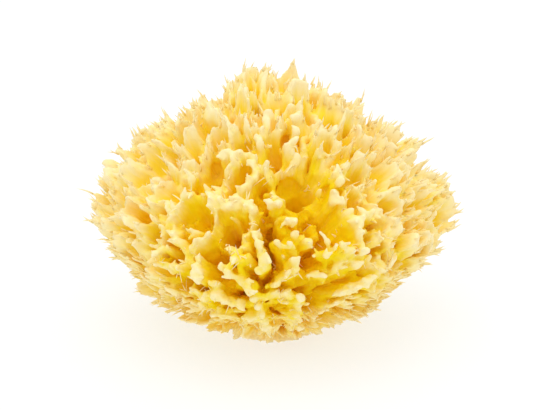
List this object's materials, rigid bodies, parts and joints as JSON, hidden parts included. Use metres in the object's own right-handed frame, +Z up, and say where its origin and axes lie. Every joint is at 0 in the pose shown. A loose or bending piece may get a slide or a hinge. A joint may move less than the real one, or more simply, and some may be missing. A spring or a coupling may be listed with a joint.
{
  "type": "natural sea sponge",
  "caption": "Rounded natural bath sponge with walls between deep open canals, pointed tufts all round and a flat cut base to rest on.",
  "frame": {"origin": "middle of the flat cut base that the sponge rests on", "axes": "+Z up, -Y the side that the picture shows, +X to the picture's right"},
  "size_m": [0.1461, 0.1386, 0.1082],
  "materials": {
    "spongin": "matt, slightly waxy bleached fibre, pale cream at the tips and deep golden orange inside the canals"
  },
  "bodies": {
    "root": {"sponge": "spongin"}
  },
  "joints": []
}
